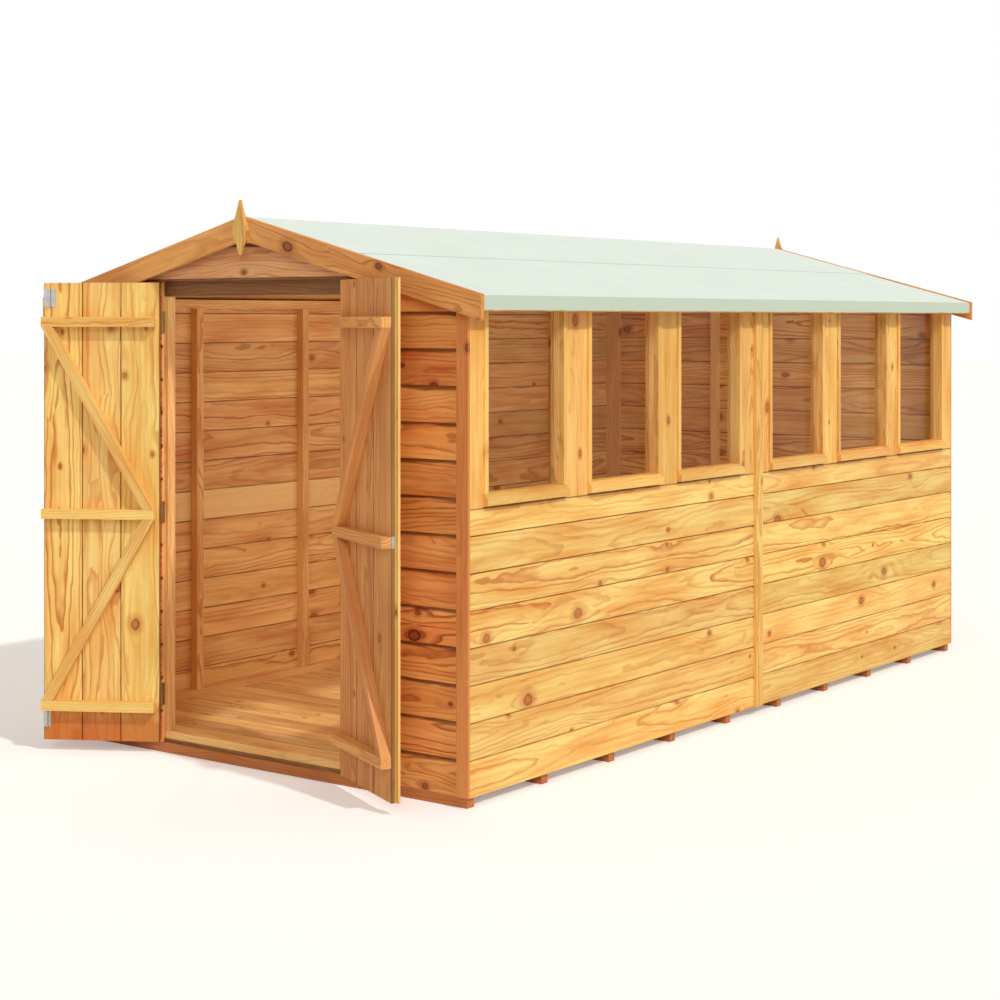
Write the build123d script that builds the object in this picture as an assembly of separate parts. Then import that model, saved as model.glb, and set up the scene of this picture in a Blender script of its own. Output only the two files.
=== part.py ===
from build123d import *
import math
import os

# Wooden apex shed, 3.6 m by 1.8 m, in millimetres.
# Origin: centre of the front bearer's underside. +Y runs into the shed, +Z is up.

# Overall size: the cladding's length and width, and the side walls' height
LENGTH = 3580.0
WIDTH = 1835.0
WALL_TOP = 1566.0
ROOF_PITCH = 15.0
EAVES_REACH = 65.0
FRONT_REACH = 14.0
BACK_REACH = 49.0

# Boards of the walls
CLAD_T = 12.0
BOARD_COVER = 114.0
COVE_DEPTH = 5.0
COVE_HEIGHT = 11.0
TRIM_T = 10.0
TRIM_W = 46.0
STRIP_W = 50.0
STRIP_T = 13.0
PANEL_GAP = 1.0

# Floor
BEARER_W = 34.0
BEARER_H = 33.0
BEARER_COUNT = 10
BEARER_SETBACK = 12.0
FLOOR_T = 12.0

# Wall frames. Stud places are shares of a panel's length
FRAME_W = 34.0
FRAME_D = 34.0
STUD_PLACES = (0.36, 0.696)
BACK_BAYS = 3
BOTTOM_RAIL_H = 25.0
TOP_RAIL_H = 34.0

# Doorway: half its width, and the posts and header that the leaves close against
DOORWAY_HALF = 419.0
JAMB_LAP = 12.0
JAMB_D = 40.0
HEADER_DROP = 53.0
HEADER_SETBACK = 15.0
HEADER_END_H = 9.4
GABLE_RAIL_DROP = 33.0

# Doors
DOOR_T = 12.0
DOOR_BOARDS = 3
DOOR_SIDE_GAP = 3.0
DOOR_MEETING_GAP = 5.0
CLEARANCE = 5.0
GROOVE_DEPTH = 2.5
LEDGE_SIZE = 34.0
LEDGE_END_GAP = 6.0
LOW_LEDGE_Z = 160.0
HIGH_LEDGE_DROP = 140.0
BRACE_W = 34.0
LEFT_OPEN = 150.0
RIGHT_OPEN = 153.0
FULLY_OPEN = 155.0
OPEN_LEAF_DROP = 5.2
MEETING_W = 46.0
MEETING_T = 13.0
MEETING_LIP = 12.0

# Door fittings. Hinge offsets are from the ledges' heights
HINGE_INSET = 3.0
HINGE_OFFSETS = (40.0, 5.0, -2.0)
HINGE_H = 75.0
HINGE_PLATE_T = 1.5
HINGE_PLATE_REACH = 5.0
KNUCKLE_R = 4.0
KNUCKLE_BORE_GAP = 0.05
PIN_R = 2.0
BOLT_H = 60.0
BOLT_PLATE_T = 2.0
BOLT_ROD_R = 4.0
BOLT_KNOB_R = 3.0
BOLT_KNOB_REACH = 10.0
TOP_BOLT_W = 42.0
LOW_BOLT_W = 24.0
TOP_BOLT_DROP = 23.0
KEEP_H = 36.0
KEEP_T = 1.5
KEEP_EDGE = 1.0

# Windows: piers and panes along each panel, from its front end. Panes share what the piers leave
FRONT_PIERS = (76.0, 127.0, 117.0, 124.0)
FRONT_PANES = (443.0, 450.0, 453.0)
BACK_PIERS = (91.0, 120.0, 101.0, 104.0)
BACK_PANES = (451.0, 459.0, 464.0)
SILL_BOTTOM = 912.0
SILL_H = 43.0
SILL_REACH = 20.0
SILL_UNDERCUT = 6.0
SILL_STEP_DROP = 8.0
SILL_NOSE_DROP = 14.0
HEAD_BOARD_H = 21.0
BEAD_W = 18.0
BEAD_PROUD = 8.0
GLASS_T = 3.0
GLASS_SETBACK = 35.0

# Roof
DECK_T = 12.0
FELT_T = 2.5
FELT_DROP = 45.0
RIDGE_FELT_REACH = 477.0
BATTEN_SIZE = 34.0
PURLIN_PLACE = 0.5
RAFTER_D = 44.0
BARGE_RISE = 3.0
BARGE_DEPTH = 78.0
BARGE_T = 16.0
BARGE_OVERHANG = 7.5
FINIAL_T = 15.0
FINIAL_W = 74.0
FINIAL_RISE = 56.0
FINIAL_SHOULDER = 45.0
FINIAL_DROP = 128.0
FINIAL_HOLLOW = 0.21

# Gaps: between seated pieces, and between pieces that meet end to end
SEAT_GAP = 0.3
JOINT_GAP = 0.5

# Places worked out from the sizes above
TAN = math.tan(math.radians(ROOF_PITCH))
COS = math.cos(math.radians(ROOF_PITCH))
HALF_W = WIDTH / 2
Y_FRONT = -(BEARER_SETBACK + BEARER_W / 2)
Y_BACK = Y_FRONT + LENGTH
Y_MID = Y_FRONT + LENGTH / 2
PANELS = ((Y_FRONT, Y_MID), (Y_MID, Y_BACK))
CLAD_Y0 = Y_FRONT + TRIM_T
CLAD_Y1 = Y_BACK - TRIM_T
FRAME_X = HALF_W - CLAD_T
FRAME_INNER_X = FRAME_X - FRAME_D
FRAME_Y0 = CLAD_Y0 + CLAD_T
FRAME_Y1 = CLAD_Y1 - CLAD_T
FLOOR_Z = BEARER_H + FLOOR_T
STUD_Z0 = FLOOR_Z + BOTTOM_RAIL_H
STUD_Z1 = WALL_TOP - TOP_RAIL_H
SILL_TOP = SILL_BOTTOM + SILL_H
EAVES_X = HALF_W + EAVES_REACH
DECK_Y0 = Y_FRONT - FRONT_REACH
DECK_Y1 = Y_BACK + BACK_REACH
BARGE_Y0 = DECK_Y0 - BARGE_T
PURLIN_X = PURLIN_PLACE * HALF_W
JAMB_X = DOORWAY_HALF - JAMB_LAP
DOOR_POST_X = DOORWAY_HALF + FRAME_W
CORNER_STUD_X = FRAME_INNER_X - FRAME_W
HINGE_X = DOORWAY_HALF - HINGE_INSET
HINGE_Y = CLAD_Y0 - KNUCKLE_R
LEAF_X0 = DOOR_MEETING_GAP / 2
LEAF_X1 = HINGE_X - DOOR_SIDE_GAP
LEAF_Y0 = CLAD_Y0
LEAF_Y1 = LEAF_Y0 + DOOR_T
LEAF_Z0 = BEARER_H + CLEARANCE
STOP_Y = LEAF_Y1 + CLEARANCE
LEDGE_X1 = JAMB_X - LEDGE_END_GAP


def deck_under(x):
    """Height of the roof boards' underside at a distance x from the ridge line."""
    return WALL_TOP + SEAT_GAP + (HALF_W - abs(x)) * TAN


def deck_top(x):
    """Height of the roof boards' upper face."""
    return deck_under(x) + DECK_T / COS


def lower_felt_top(x):
    """Height of the upper face of the felt that lies on the boards."""
    return deck_top(x) + FELT_T / COS


def felt_top(x):
    """Height of the upper face of the felt over the ridge."""
    return lower_felt_top(x) + FELT_T / COS


def barge_under(x):
    """Height of the barge boards' lower edge."""
    return felt_top(x) - BARGE_DEPTH


def wall_top(x):
    """Height of whatever stands under the roof boards with a seating gap."""
    return deck_under(x) - SEAT_GAP


def slope_x(z):
    """Distance from the ridge line at which a wall under the roof is z high."""
    return (wall_top(0) - z) / TAN


def open_leaf_x():
    """Where the outer face of a fully open leaf passes the barge boards' outer face."""
    angle = math.radians(180 - FULLY_OPEN)
    return HINGE_X + (HINGE_Y - BARGE_Y0) / math.tan(angle) - KNUCKLE_R / math.sin(angle)


# Heights of the doorway: the open leaves swing under the barge boards
LEAF_Z1 = barge_under(open_leaf_x()) - OPEN_LEAF_DROP
DOORWAY_TOP = LEAF_Z1 + CLEARANCE
HEADER_Z = DOORWAY_TOP - HEADER_DROP
HEADER_END_Z = wall_top(FRAME_INNER_X) - HEADER_END_H
GABLE_RAIL_TOP = wall_top(PURLIN_X) - GABLE_RAIL_DROP
HIGH_LEDGE_Z = DOORWAY_TOP - HIGH_LEDGE_DROP
LEDGE_HEIGHTS = (LOW_LEDGE_Z, (LOW_LEDGE_Z + HIGH_LEDGE_Z) / 2, HIGH_LEDGE_Z)
HINGE_HEIGHTS = tuple(z + offset for z, offset in zip(LEDGE_HEIGHTS, HINGE_OFFSETS))


def block(x0, x1, y0, y1, z0, z1):
    """A plain board between two corners."""
    size = Box(x1 - x0, y1 - y0, z1 - z0, align=(Align.MIN, Align.MIN, Align.MIN))
    return Pos(x0, y0, z0) * size


def rod(radius, x, y, z0, z1):
    """An upright round bar."""
    return Pos(x, y, z0) * Cylinder(radius, z1 - z0, align=(Align.CENTER, Align.CENTER, Align.MIN))


def prism_y(points, y0, y1):
    """An outline of (x, z) points, drawn out along Y."""
    wire = Polyline(*[(x, y0, z) for x, z in points], close=True)
    return extrude(make_face(wire), amount=y1 - y0, dir=(0, 1, 0))


def prism_z(points, z0, z1):
    """An outline of (x, y) points, drawn up along Z."""
    wire = Polyline(*[(x, y, z0) for x, y in points], close=True)
    return extrude(make_face(wire), amount=z1 - z0, dir=(0, 0, 1))


def mirror_x(shape):
    """The same piece on the other side of the shed."""
    return mirror(shape, about=Plane.YZ)


def both_sides(shapes):
    """The pieces of the right side and their mirror images."""
    return [*shapes, *[mirror_x(shape) for shape in shapes]]


def to_back(shape):
    """The same piece on the other gable wall."""
    return mirror(shape, about=Plane.XZ.offset(-Y_MID))


def to_back_verge(shape):
    """The same piece on the back edge of the roof, which reaches further out."""
    return Pos(0, BACK_REACH - FRONT_REACH, 0) * to_back(shape)


def save(name, *shapes):
    """Write one node; its pieces stay separate solids."""
    solids = [solid for shape in shapes for solid in shape.solids()]
    export_step(Compound(children=solids), f"parts/{name}.step")


# Shiplap cladding: each board has a hollow cove along its top, and the next board's lip covers it
def shiplap_outline(z_top):
    """Edges of the boards' section in the XZ plane, with the outer face at x = 0."""
    edges = []
    z = BEARER_H
    while z < z_top:
        joint = z + BOARD_COVER
        start, end = (0, 0, joint - COVE_HEIGHT), (-COVE_DEPTH, 0, joint)
        middle = (-COVE_DEPTH * math.sin(math.pi / 4), 0, joint - COVE_HEIGHT * math.cos(math.pi / 4))
        edges.append(Line((0, 0, z), start))
        edges.append(ThreePointArc(start, middle, end))
        edges.append(Line(end, (0, 0, joint)))
        z = joint
    edges.append(Line((0, 0, z), (-CLAD_T, 0, z)))
    edges.append(Line((-CLAD_T, 0, z), (-CLAD_T, 0, BEARER_H)))
    edges.append(Line((-CLAD_T, 0, BEARER_H), (0, 0, BEARER_H)))
    return edges


def shiplap(run, z_top):
    """Boards with their outer face towards +X, running along +Y from the origin."""
    section = make_face(Wire(shiplap_outline(z_top)))
    return extrude(section, amount=run, dir=(0, 1, 0))


def side_cladding(y0, y1, z_top):
    """Boards of the right wall, up to a level top."""
    boards = Pos(HALF_W, y0, 0) * shiplap(y1 - y0, z_top)
    return boards & block(FRAME_X, HALF_W, y0, y1, BEARER_H, z_top)


def gable_cladding(outline):
    """Boards of the front wall inside an outline of (x, z) points."""
    x0, x1 = min(x for x, _ in outline), max(x for x, _ in outline)
    z_top = max(z for _, z in outline)
    boards = Pos(x0, CLAD_Y0, 0) * Rot(0, 0, -90) * shiplap(x1 - x0, z_top)
    return boards & prism_y(outline, CLAD_Y0, FRAME_Y0)


def build_floor():
    """Bearers across the shed and the boards on them."""
    pitch = (LENGTH - 2 * BEARER_SETBACK - BEARER_W) / (BEARER_COUNT - 1)
    starts = [Y_FRONT + BEARER_SETBACK + index * pitch for index in range(BEARER_COUNT)]
    save("bearers", *[block(-FRAME_X, FRAME_X, y, y + BEARER_W, 0, BEARER_H) for y in starts])
    save("floor_boards", block(-FRAME_X, FRAME_X, STOP_Y, FRAME_Y1, BEARER_H, FLOOR_Z))


def build_gable_walls():
    """Front wall split beside and over the doorway, back wall in one."""
    reach = min(FRAME_X, slope_x(DOORWAY_TOP))
    beside = [(DOORWAY_HALF, BEARER_H), (FRAME_X, BEARER_H), (FRAME_X, wall_top(FRAME_X)),
              (reach, DOORWAY_TOP), (DOORWAY_HALF, DOORWAY_TOP)]
    pier = gable_cladding(beside)
    save("front_wall_right", pier)
    save("front_wall_left", mirror_x(pier))
    save("front_gable", gable_cladding([(-reach, DOORWAY_TOP), (reach, DOORWAY_TOP), (0, wall_top(0))]))
    full = [(-FRAME_X, BEARER_H), (FRAME_X, BEARER_H), (FRAME_X, wall_top(FRAME_X)),
            (0, wall_top(0)), (-FRAME_X, wall_top(FRAME_X))]
    save("back_wall", to_back(gable_cladding(full)))


def build_side_walls():
    """Two panels a side; the right wall stops at the window sills."""
    panels = {"front": (CLAD_Y0, Y_MID - PANEL_GAP / 2), "back": (Y_MID + PANEL_GAP / 2, CLAD_Y1)}
    for name, (y0, y1) in panels.items():
        save(f"left_wall_{name}", mirror_x(side_cladding(y0, y1, WALL_TOP)))
        save(f"right_wall_{name}", side_cladding(y0, y1, SILL_BOTTOM))


def build_trims():
    """Corner boards on both gables and a strip over the joint of each side wall."""
    corners = both_sides([block(HALF_W - TRIM_W, HALF_W, Y_FRONT, CLAD_Y0, BEARER_H, WALL_TOP)])
    save("corner_trims", *corners, *[to_back(corner) for corner in corners])
    outer = HALF_W + STRIP_T
    strip = block(HALF_W, outer, Y_MID - STRIP_W / 2, Y_MID + STRIP_W / 2, BEARER_H, wall_top(outer))
    save("cover_strips", *both_sides([strip]))


def frame_spans():
    """Start and end of the wall frame in each side panel."""
    return ((FRAME_Y0, Y_MID - PANEL_GAP / 2), (Y_MID + PANEL_GAP / 2, FRAME_Y1))


def panel_stud_starts():
    """Front faces of the full-height studs in both side panels."""
    starts = []
    for (start, end), (y0, y1) in zip(PANELS, frame_spans()):
        between = [start + place * (end - start) - FRAME_W / 2 for place in STUD_PLACES]
        starts += [y0, *between, y1 - FRAME_W]
    return starts


def rails(z0, z1):
    """One rail in each panel of the right wall's frame."""
    return [block(FRAME_INNER_X, FRAME_X, y0, y1, z0, z1) for y0, y1 in frame_spans()]


def studs(starts, z0, z1):
    """Studs of the right wall's frame."""
    return [block(FRAME_INNER_X, FRAME_X, y, y + FRAME_W, z0, z1) for y in starts]


def build_side_frames():
    """Studs and rails of both side walls."""
    bottom, top = rails(FLOOR_Z, STUD_Z0), rails(STUD_Z1, WALL_TOP)
    middle_z0 = SILL_BOTTOM - FRAME_W
    starts = panel_stud_starts()
    beside_windows = [y for near, far in WINDOWS for y in (near + BEAD_W - FRAME_W, far - BEAD_W)]
    save("left_wall_studs", *[mirror_x(stud) for stud in studs(starts, STUD_Z0, STUD_Z1)])
    save("left_wall_rails", *[mirror_x(rail) for rail in bottom + top])
    save("right_wall_rails", *bottom, *rails(middle_z0, SILL_BOTTOM), *top)
    save("right_wall_studs", *studs(starts, STUD_Z0, middle_z0), *studs(beside_windows, SILL_BOTTOM, STUD_Z1))


def door_header(y0, y1):
    """Rail over the doorway, set back behind the leaves, with its ends on the corner studs."""
    half = [(DOOR_POST_X, HEADER_Z), (CORNER_STUD_X, HEADER_END_Z), (FRAME_INNER_X, HEADER_END_Z),
            (FRAME_INNER_X, wall_top(FRAME_INNER_X)), (slope_x(GABLE_RAIL_TOP), GABLE_RAIL_TOP)]
    outline = half + [(-x, z) for x, z in reversed(half)]
    recess = block(-DOORWAY_HALF, DOORWAY_HALF, y0, LEAF_Y1 + HEADER_SETBACK, HEADER_Z, DOORWAY_TOP)
    return prism_y(outline, y0, y1) - recess


def build_front_frame():
    """Corner studs, rebated door posts, rails and the threshold."""
    y0, y1 = FRAME_Y0, FRAME_Y0 + FRAME_D
    post_y1 = y0 + JAMB_D
    outline = [(JAMB_X, STOP_Y), (DOORWAY_HALF, STOP_Y), (DOORWAY_HALF, y0),
               (DOOR_POST_X, y0), (DOOR_POST_X, post_y1), (JAMB_X, post_y1)]
    post = prism_z(outline, STUD_Z0, HEADER_Z)
    corner = block(CORNER_STUD_X, FRAME_INNER_X, y0, y1, STUD_Z0, HEADER_END_Z)
    save("front_wall_studs", *both_sides([post, corner]))
    sills = both_sides([block(DOORWAY_HALF, FRAME_INNER_X, y0, y1, FLOOR_Z, STUD_Z0)])
    half = DOORWAY_HALF - JOINT_GAP
    threshold = block(-half, half, STOP_Y, y1, FLOOR_Z, STUD_Z0)
    save("front_wall_rails", *sills, threshold, door_header(y0, y1))


def build_back_frame():
    """Studs and rails of the back wall."""
    y0, y1 = FRAME_Y1 - FRAME_D, FRAME_Y1
    pitch = (2 * FRAME_INNER_X - FRAME_W) / BACK_BAYS
    starts = [-FRAME_INNER_X + index * pitch for index in range(BACK_BAYS + 1)]
    save("back_wall_studs", *[block(x, x + FRAME_W, y0, y1, STUD_Z0, STUD_Z1) for x in starts])
    bottom = block(-FRAME_INNER_X, FRAME_INNER_X, y0, y1, FLOOR_Z, STUD_Z0)
    top = block(-FRAME_INNER_X, FRAME_INNER_X, y0, y1, STUD_Z1, WALL_TOP)
    save("back_wall_rails", bottom, top)


def panel_windows(start, end, piers, shares):
    """Near and far edge of each window in a panel: the piers keep their widths, the panes share the rest."""
    scale = (end - start - sum(piers)) / sum(shares)
    spans = []
    for pier, share in zip(piers, shares):
        near = start + pier
        start = near + share * scale
        spans.append((near, start))
    return spans


WINDOWS = (panel_windows(*PANELS[0], FRONT_PIERS, FRONT_PANES)
           + panel_windows(*PANELS[1], BACK_PIERS, BACK_PANES))


def post_spans():
    """Boards beside and between the windows, one panel at a time."""
    edges = [CLAD_Y0] + [y for span in WINDOWS for y in span] + [CLAD_Y1]
    spans = []
    for start, end in zip(edges[0::2], edges[1::2]):
        if start < Y_MID < end:
            spans += [(start, Y_MID - PANEL_GAP / 2), (Y_MID + PANEL_GAP / 2, end)]
        else:
            spans.append((start, end))
    return spans


def window_sill(y0, y1):
    """A sill with a sloping top, a step and a nosing, in front of the beads and between the studs."""
    nose = HALF_W + SILL_REACH
    step = HALF_W + BEAD_PROUD
    front = [(FRAME_X, SILL_BOTTOM), (nose, SILL_BOTTOM + SILL_UNDERCUT), (nose, SILL_TOP - SILL_NOSE_DROP),
             (step, SILL_TOP - SILL_STEP_DROP), (step, SILL_TOP), (FRAME_X, SILL_TOP)]
    back = block(FRAME_INNER_X, FRAME_X, y0 + BEAD_W, y1 - BEAD_W, SILL_BOTTOM, SILL_TOP)
    return prism_y(front, y0, y1) + back


def window_head(y0, y1, bead_top):
    """Bead over the pane and the board above it, in one piece."""
    bead = block(FRAME_X, HALF_W + BEAD_PROUD, y0 + BEAD_W, y1 - BEAD_W, bead_top - BEAD_W, bead_top)
    board = block(FRAME_X, HALF_W, y0 + SEAT_GAP, y1 - SEAT_GAP, bead_top, WALL_TOP)
    return bead + board


def build_windows():
    """Six fixed panes with posts, beads, heads and sills."""
    save("window_posts", *[block(FRAME_X, HALF_W, y0, y1, SILL_BOTTOM, WALL_TOP) for y0, y1 in post_spans()])
    bead_top = WALL_TOP - HEAD_BOARD_H
    beads, panes = [], []
    pane_x = HALF_W - GLASS_SETBACK
    for y0, y1 in WINDOWS:
        for start in (y0, y1 - BEAD_W):
            beads.append(block(FRAME_X, HALF_W + BEAD_PROUD, start, start + BEAD_W, SILL_TOP, bead_top))
        inner0, inner1 = y0 + BEAD_W + SEAT_GAP, y1 - BEAD_W - SEAT_GAP
        panes.append(block(pane_x, pane_x + GLASS_T, inner0, inner1, SILL_TOP, STUD_Z1 - SEAT_GAP))
    save("window_beads", *beads)
    save("window_heads", *[window_head(y0, y1, bead_top) for y0, y1 in WINDOWS])
    save("window_sills", *[window_sill(y0, y1) for y0, y1 in WINDOWS])
    save("window_glass", *panes)


def slope_band(x0, x1, top, depth):
    """Section of a layer that follows the right slope, with plumb ends."""
    return [(x0, top(x0)), (x1, top(x1)), (x1, top(x1) - depth / COS), (x0, top(x0) - depth / COS)]


def build_roof_covering():
    """Roof boards, a felt sheet on each slope with its folded eaves edge, and the felt over the ridge."""
    near_ridge = JOINT_GAP / 2
    deck = prism_y(slope_band(near_ridge, EAVES_X - FELT_T, deck_top, DECK_T), DECK_Y0, DECK_Y1)
    save("roof_boards", *both_sides([deck]))
    drop_z = lower_felt_top(EAVES_X) - FELT_DROP
    fold_x = EAVES_X - FELT_T
    outline = [(near_ridge, lower_felt_top(near_ridge)), (EAVES_X, lower_felt_top(EAVES_X)),
               (EAVES_X, drop_z), (fold_x, drop_z),
               (fold_x, deck_top(fold_x)), (near_ridge, deck_top(near_ridge))]
    save("roof_felt_sides", *both_sides([prism_y(outline, DECK_Y0, DECK_Y1)]))
    reach = RIDGE_FELT_REACH
    cap = [(-reach, felt_top(reach)), (0, felt_top(0)), (reach, felt_top(reach)),
           (reach, lower_felt_top(reach)), (0, lower_felt_top(0)), (-reach, lower_felt_top(reach))]
    save("roof_felt_ridge", prism_y(cap, DECK_Y0, DECK_Y1))


def eaves_batten():
    """Batten under the edge of the roof boards, with its outer face plumb."""
    outer = EAVES_X - FELT_T
    inner = outer - BATTEN_SIZE
    bottom = deck_under(outer) - BATTEN_SIZE
    outline = [(inner, deck_under(inner)), (outer, deck_under(outer)), (outer, bottom), (inner, bottom)]
    return prism_y(outline, DECK_Y0, DECK_Y1)


def build_roof_timber():
    """Battens under the boards and a pair of rafters at the panel joint."""
    half = FRAME_W / 2
    runs = ((FRAME_Y0 + FRAME_D + JOINT_GAP, Y_MID - half - JOINT_GAP),
            (Y_MID + half + JOINT_GAP, FRAME_Y1 - FRAME_D - JOINT_GAP))
    right = [eaves_batten()]
    for x0, x1 in ((PURLIN_X, PURLIN_X + BATTEN_SIZE), (JOINT_GAP, BATTEN_SIZE)):
        right += [prism_y(slope_band(x0, x1, deck_under, BATTEN_SIZE), y0, y1) for y0, y1 in runs]
    save("roof_battens", *both_sides(right))
    section = slope_band(JOINT_GAP / 2, FRAME_INNER_X - JOINT_GAP, deck_under, RAFTER_D)
    save("roof_rafters", *both_sides([prism_y(section, Y_MID - half, Y_MID + half)]))


def finial_plate(y0, y1):
    """A spear-shaped plate with hollow sides."""
    ridge = felt_top(0)
    tip_z, side_z, foot_z = ridge + FINIAL_RISE, ridge - FINIAL_SHOULDER, ridge - FINIAL_DROP
    hollow = FINIAL_W * FINIAL_HOLLOW
    edges = []
    for side in (1, -1):
        corner = (side * FINIAL_W / 2, y0, side_z)
        edges.append(ThreePointArc((0, y0, tip_z), (side * hollow, y0, (tip_z + side_z) / 2), corner))
        edges.append(ThreePointArc(corner, (side * hollow, y0, (foot_z + side_z) / 2), (0, y0, foot_z)))
    return extrude(make_face(Wire(edges)), amount=y1 - y0, dir=(0, 1, 0))


def build_verges():
    """Barge boards and a finial on each end of the roof."""
    near_ridge, reach = JOINT_GAP / 2, EAVES_X + BARGE_OVERHANG
    outline = [(near_ridge, felt_top(near_ridge) + BARGE_RISE), (reach, felt_top(reach) + BARGE_RISE),
               (reach, barge_under(reach)), (near_ridge, barge_under(near_ridge))]
    boards = both_sides([prism_y(outline, BARGE_Y0, DECK_Y0)])
    save("bargeboards", *boards, *[to_back_verge(board) for board in boards])
    finial = finial_plate(BARGE_Y0 - FINIAL_T, BARGE_Y0)
    save("finials", finial, to_back_verge(finial))


# Doors, drawn closed on the right-hand side and then swung open
def swing(shape, angle):
    """Turn a closed right-hand piece about its hinge pin."""
    return Pos(HINGE_X, HINGE_Y, 0) * Rot(0, 0, angle) * Pos(-HINGE_X, -HINGE_Y, 0) * shape


def place_leaf(shapes, side):
    """Open a leaf's pieces to the pose of that side."""
    if side == "right":
        return [swing(shape, RIGHT_OPEN) for shape in shapes]
    return [mirror_x(swing(shape, LEFT_OPEN)) for shape in shapes]


def leaf_boards():
    """Upright boards with a V-groove at each joint on both faces."""
    boards = block(LEAF_X0, LEAF_X1, LEAF_Y0, LEAF_Y1, LEAF_Z0, LEAF_Z1)
    pitch = (LEAF_X1 - LEAF_X0) / DOOR_BOARDS
    for index in range(1, DOOR_BOARDS):
        x = LEAF_X0 + index * pitch
        for face, inward in ((LEAF_Y1, -1), (LEAF_Y0, 1)):
            groove = [(x - GROOVE_DEPTH, face), (x + GROOVE_DEPTH, face), (x, face + inward * GROOVE_DEPTH)]
            boards -= prism_z(groove, LEAF_Z0, LEAF_Z1)
    return boards


def leaf_ledges():
    """Three level rails on the inner face, short of the door post."""
    half = LEDGE_SIZE / 2
    y1 = LEAF_Y1 + LEDGE_SIZE
    return [block(LEAF_X0, LEDGE_X1, LEAF_Y1, y1, z - half, z + half) for z in LEDGE_HEIGHTS]


def brace(z_free, z_hinge):
    """A sloping brace from the free edge to the hinge side, cut level at both ends."""
    rise = z_hinge - z_free
    run = LEDGE_X1 - LEAF_X0
    foot = BRACE_W * math.hypot(run, rise) / abs(rise)
    outline = [(LEAF_X0, z_free), (LEAF_X0 + foot, z_free), (LEDGE_X1, z_hinge), (LEDGE_X1 - foot, z_hinge)]
    return prism_y(outline, LEAF_Y1, LEAF_Y1 + LEDGE_SIZE)


def leaf_braces():
    """Braces that meet at the middle rail."""
    low, middle, high = LEDGE_HEIGHTS
    half = LEDGE_SIZE / 2
    return [brace(high - half, middle + half), brace(low + half, middle - half)]


def leaf_hinge(z):
    """The leaf's middle knuckle and its plate on the leaf's edge."""
    z0, z1 = z - HINGE_H / 6, z + HINGE_H / 6
    plate = block(LEAF_X1, LEAF_X1 + HINGE_PLATE_T, HINGE_Y, LEAF_Y0 + HINGE_PLATE_REACH, z0, z1)
    knuckle = rod(KNUCKLE_R, HINGE_X, HINGE_Y, z0, z1)
    return knuckle + plate - rod(PIN_R + KNUCKLE_BORE_GAP, HINGE_X, HINGE_Y, z0, z1)


def frame_hinge(z):
    """Two outer knuckles, the plate on the wall's edge and the pin, in one piece."""
    half = HINGE_H / 2
    inner = HINGE_H / 6 + JOINT_GAP
    plate_x = DOORWAY_HALF - HINGE_PLATE_T
    plate = block(plate_x, DOORWAY_HALF, HINGE_Y, FRAME_Y0, z - half, z + half)
    swept = block(plate_x, DOORWAY_HALF, HINGE_Y, HINGE_Y + KNUCKLE_R + 2 * JOINT_GAP, z - inner, z + inner)
    piece = plate - swept + rod(PIN_R, HINGE_X, HINGE_Y, z - half, z + half)
    for z0, z1 in ((z - half, z - inner), (z + inner, z + half)):
        piece += rod(KNUCKLE_R, HINGE_X, HINGE_Y, z0, z1)
    return piece


def meeting_strip():
    """Strip on the right leaf's outer face that laps over the left leaf with a rebate."""
    x_lip = LEAF_X0 - MEETING_LIP
    y_face, y_lip = LEAF_Y0 - MEETING_T, LEAF_Y0 - CLEARANCE
    outline = [(LEAF_X0, LEAF_Y0), (LEAF_X0, y_lip), (x_lip, y_lip), (x_lip, y_face),
               (x_lip + MEETING_W, y_face), (x_lip + MEETING_W, LEAF_Y0)]
    return prism_z(outline, LEAF_Z0, LEAF_Z1)


def barrel_bolt(z0, width):
    """Plate, round bolt and knob on the inner face at the free edge."""
    z1 = z0 + BOLT_H
    x = LEAF_X0 + width / 2
    plate = block(LEAF_X0, LEAF_X0 + width, LEAF_Y1, LEAF_Y1 + BOLT_PLATE_T, z0, z1)
    bar = rod(BOLT_ROD_R, x, LEAF_Y1 + BOLT_ROD_R + BOLT_PLATE_T / 2, z0, z1)
    knob = Pos(x, LEAF_Y1, (z0 + z1) / 2) * Rot(-90, 0, 0) * rod(BOLT_KNOB_R, 0, 0, 0, BOLT_KNOB_REACH)
    return plate + bar + knob


def leaf_bolts():
    """The bolt under the leaf's top edge and the one under the low ledge."""
    low_z = LOW_LEDGE_Z - LEDGE_SIZE / 2 - BOLT_H
    return [barrel_bolt(LEAF_Z1 - TOP_BOLT_DROP - BOLT_H, TOP_BOLT_W), barrel_bolt(low_z, LOW_BOLT_W)]


def lock_keep():
    """Small plate let into the leaf's free edge beside the middle rail."""
    z = LEDGE_HEIGHTS[1]
    half = KEEP_H / 2
    return block(LEAF_X0, LEAF_X0 + KEEP_T, LEAF_Y0 + KEEP_EDGE, LEAF_Y1 - KEEP_EDGE, z - half, z + half)


def build_doors():
    """Both leaves in their open pose, and the frame's half of the hinges."""
    boards = {"left": leaf_boards(), "right": leaf_boards() - lock_keep()}
    for side in ("left", "right"):
        save(f"{side}_door_boards", *place_leaf([boards[side]], side))
        save(f"{side}_door_ledges", *place_leaf(leaf_ledges(), side))
        save(f"{side}_door_braces", *place_leaf(leaf_braces(), side))
        save(f"{side}_door_hinges", *place_leaf([leaf_hinge(z) for z in HINGE_HEIGHTS], side))
    save("left_door_bolts", *place_leaf(leaf_bolts(), "left"))
    save("right_door_meeting_strip", *place_leaf([meeting_strip()], "right"))
    save("right_door_keep", *place_leaf([lock_keep()], "right"))
    save("frame_hinges", *both_sides([frame_hinge(z) for z in HINGE_HEIGHTS]))


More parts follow.
